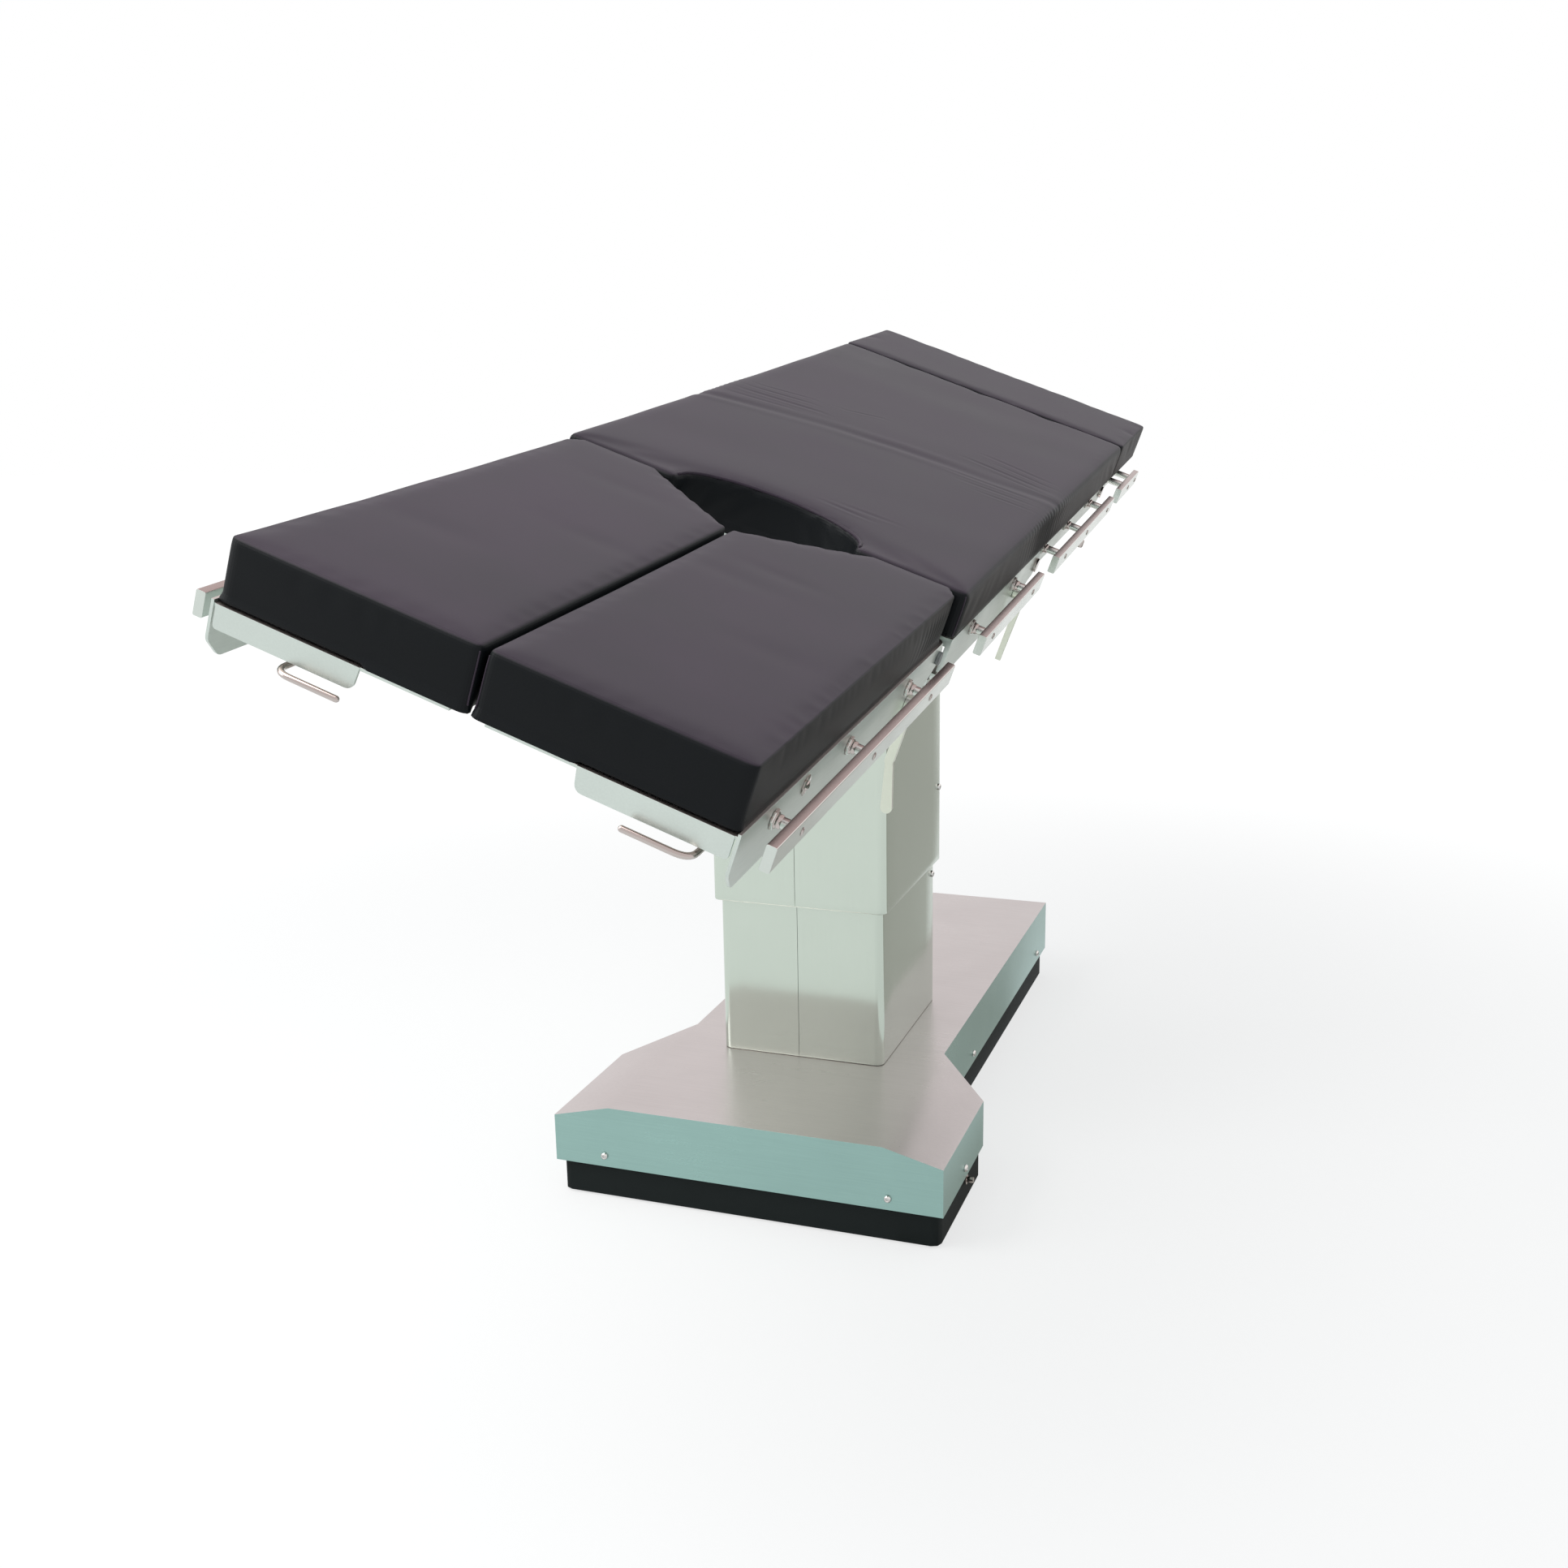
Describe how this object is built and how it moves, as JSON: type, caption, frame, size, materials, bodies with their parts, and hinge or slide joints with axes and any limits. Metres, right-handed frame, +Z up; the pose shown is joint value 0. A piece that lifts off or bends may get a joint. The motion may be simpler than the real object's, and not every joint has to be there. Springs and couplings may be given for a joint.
{
  "type": "operating table",
  "caption": "Operating table with a T-shaped steel base, telescoping column and a tilting black padded top with split legs and side rails.",
  "frame": {"origin": "on the floor, under the middle of the whole outline seen from above", "axes": "+Z up, +Y along the table from the foot end to the head end, +X to the table's right side"},
  "size_m": [0.5951, 2.0347, 1.1708],
  "materials": {
    "brushed_stainless": "satin",
    "painted_frame_steel": "satin",
    "ground_chrome": "polished",
    "cast_iron_head": "matte",
    "pad_cover": "satin",
    "black_rubber": "matte",
    "phenolic_panel": "satin",
    "satin_lever": "satin",
    "unit_enamel": "satin"
  },
  "bodies": {
    "base": {"base_frame": "painted_frame_steel", "base_cover": "brushed_stainless", "base_plinth": "black_rubber", "earth_stud": "ground_chrome", "hydraulic_power_unit": "unit_enamel", "mast_outer": "painted_frame_steel", "lift_cylinder": "painted_frame_steel", "lower_column_cover_left": "brushed_stainless", "lower_column_cover_right": "brushed_stainless", "base_foot_front_left": "black_rubber", "base_foot_front_right": "black_rubber", "base_foot_rear_left": "black_rubber", "base_foot_rear_right": "black_rubber"},
    "carriage": {"castor_carriage": "painted_frame_steel"},
    "column": {"mast_inner": "ground_chrome", "lift_piston_rod": "ground_chrome", "column_head": "cast_iron_head", "upper_column_cover_left": "brushed_stainless", "upper_column_cover_right": "brushed_stainless"},
    "saddle": {"tilt_saddle": "cast_iron_head"},
    "seat": {"seat_frame": "brushed_stainless", "tilt_shaft": "ground_chrome", "seat_deck": "phenolic_panel", "seat_pad": "pad_cover", "seat_back_fold": "pad_cover", "seat_rail_left": "brushed_stainless", "seat_rail_right": "brushed_stainless", "back_hinge_shaft": "ground_chrome"},
    "side_lever": {"side_lock_lever": "satin_lever"},
    "back": {"back_frame": "brushed_stainless", "back_deck": "phenolic_panel", "back_pad": "pad_cover", "back_rail_left": "brushed_stainless", "back_rail_right": "brushed_stainless", "head_hinge_shaft": "ground_chrome"},
    "head": {"head_frame": "brushed_stainless", "head_pad": "pad_cover", "head_pad_fold": "pad_cover", "head_rail_left": "brushed_stainless", "head_rail_right": "brushed_stainless"},
    "castor_front_left": {"castor_fork_front_left": "painted_frame_steel"},
    "wheel_front_left": {"castor_wheel_front_left": "black_rubber"},
    "castor_front_right": {"castor_fork_front_right": "painted_frame_steel"},
    "wheel_front_right": {"castor_wheel_front_right": "black_rubber"},
    "castor_rear_left": {"castor_fork_rear_left": "painted_frame_steel"},
    "wheel_rear_left": {"castor_wheel_rear_left": "black_rubber"},
    "castor_rear_right": {"castor_fork_rear_right": "painted_frame_steel"},
    "wheel_rear_right": {"castor_wheel_rear_right": "black_rubber"},
    "swivel_left": {"leg_swivel_left": "cast_iron_head"},
    "leg_left": {"leg_frame_left": "brushed_stainless", "leg_pad_left": "pad_cover", "leg_rail_left": "brushed_stainless"},
    "release_left": {"leg_release_rod_left": "ground_chrome"},
    "clamp_left": {"leg_clamp_lever_left": "satin_lever"},
    "swivel_right": {"leg_swivel_right": "cast_iron_head"},
    "leg_right": {"leg_frame_right": "brushed_stainless", "leg_pad_right": "pad_cover", "leg_rail_right": "brushed_stainless"},
    "release_right": {"leg_release_rod_right": "ground_chrome"},
    "clamp_right": {"leg_clamp_lever_right": "satin_lever"}
  },
  "joints": [
    {"name": "castor_drop", "type": "slide", "parent": "base", "child": "carriage", "axis": [0, 0, 1], "range_m": [-0.014, 0]},
    {"name": "column_lift", "type": "slide", "parent": "base", "child": "column", "axis": [0, 0, 1], "range_m": [-0.225, 0.07]},
    {"name": "end_tilt", "type": "hinge", "parent": "column", "child": "saddle", "pos_m": [-0.0193, 0.117, 0.8016], "axis": [-1, 0, 0], "range_deg": [-19.3, 30.7]},
    {"name": "side_tilt", "type": "hinge", "parent": "saddle", "child": "seat", "pos_m": [-0.0193, 0.117, 0.8016], "axis": [0, 0.9951, 0.0993], "range_deg": [-41.4, 0]},
    {"name": "back_fold", "type": "hinge", "parent": "seat", "child": "back", "pos_m": [0.02312, 0.19192, 0.92189], "axis": [0.9354, 0.0351, -0.3517], "range_deg": [-15, 75], "deforming": ["seat_back_fold"]},
    {"name": "head_fold", "type": "hinge", "parent": "back", "child": "head", "pos_m": [0.02312, 0.76507, 0.9791], "axis": [0.9354, 0.0351, -0.3517], "range_deg": [-90, 25], "deforming": ["head_pad_fold"]},
    {"name": "side_lever_turn", "type": "hinge", "parent": "seat", "child": "side_lever", "pos_m": [0.2591, 0.08613, 0.80883], "axis": [0.9354, 0.0351, -0.3517], "range_deg": [-60, 30]},
    {"name": "castor_swivel_front_left", "type": "hinge", "parent": "carriage", "child": "castor_front_left", "pos_m": [-0.2143, -0.183, 0.0937], "axis": [0, 0, 1], "continuous": true},
    {"name": "wheel_spin_front_left", "type": "hinge", "parent": "castor_front_left", "child": "wheel_front_left", "pos_m": [-0.2143, -0.165, 0.0415], "axis": [1, 0, 0], "continuous": true},
    {"name": "castor_swivel_front_right", "type": "hinge", "parent": "carriage", "child": "castor_front_right", "pos_m": [0.1757, -0.183, 0.0937], "axis": [0, 0, 1], "continuous": true},
    {"name": "wheel_spin_front_right", "type": "hinge", "parent": "castor_front_right", "child": "wheel_front_right", "pos_m": [0.1757, -0.165, 0.0415], "axis": [1, 0, 0], "continuous": true},
    {"name": "castor_swivel_rear_left", "type": "hinge", "parent": "carriage", "child": "castor_rear_left", "pos_m": [-0.1313, 0.702, 0.0937], "axis": [0, 0, 1], "continuous": true},
    {"name": "wheel_spin_rear_left", "type": "hinge", "parent": "castor_rear_left", "child": "wheel_rear_left", "pos_m": [-0.1313, 0.72, 0.0415], "axis": [1, 0, 0], "continuous": true},
    {"name": "castor_swivel_rear_right", "type": "hinge", "parent": "carriage", "child": "castor_rear_right", "pos_m": [0.0927, 0.702, 0.0937], "axis": [0, 0, 1], "continuous": true},
    {"name": "wheel_spin_rear_right", "type": "hinge", "parent": "castor_rear_right", "child": "wheel_rear_right", "pos_m": [0.0927, 0.72, 0.0415], "axis": [1, 0, 0], "continuous": true},
    {"name": "leg_spread_left", "type": "hinge", "parent": "seat", "child": "swivel_left", "pos_m": [-0.1921, -0.33432, 0.97365], "axis": [-0.3535, 0.0929, -0.9308], "range_deg": [0, 60]},
    {"name": "leg_fold_left", "type": "hinge", "parent": "swivel_left", "child": "leg_left", "pos_m": [0.0263, -0.34774, 0.87648], "axis": [0.9354, 0.0351, -0.3517], "range_deg": [-13.8, 91.2]},
    {"name": "release_turn_left", "type": "hinge", "parent": "leg_left", "child": "release_left", "pos_m": [-0.13651, -1.0137, 0.87172], "axis": [-0.0074, 0.9968, 0.0798], "range_deg": [0, 35], "stiffness_Nm_per_rad": 1.2, "springref_deg": -20.05},
    {"name": "clamp_turn_left", "type": "hinge", "parent": "leg_left", "child": "clamp_left", "pos_m": [-0.21918, -0.45951, 0.93406], "axis": [-0.9354, -0.0351, 0.3517], "range_deg": [-35, 35]},
    {"name": "leg_spread_right", "type": "hinge", "parent": "seat", "child": "swivel_right", "pos_m": [0.25318, -0.31761, 0.80623], "axis": [0.3535, -0.0929, 0.9308], "range_deg": [0, 60]},
    {"name": "leg_fold_right", "type": "hinge", "parent": "swivel_right", "child": "leg_right", "pos_m": [0.0263, -0.34774, 0.87648], "axis": [0.9354, 0.0351, -0.3517], "range_deg": [-13.8, 91.2]},
    {"name": "release_turn_right", "type": "hinge", "parent": "leg_right", "child": "release_right", "pos_m": [0.23393, -0.9998, 0.73243], "axis": [0.0074, -0.9968, -0.0798], "range_deg": [0, 35], "stiffness_Nm_per_rad": 1.2, "springref_deg": -20.05},
    {"name": "clamp_turn_right", "type": "hinge", "parent": "leg_right", "child": "clamp_right", "pos_m": [0.25566, -0.44169, 0.75552], "axis": [-0.9354, -0.0351, 0.3517], "range_deg": [-35, 35]}
  ]
}
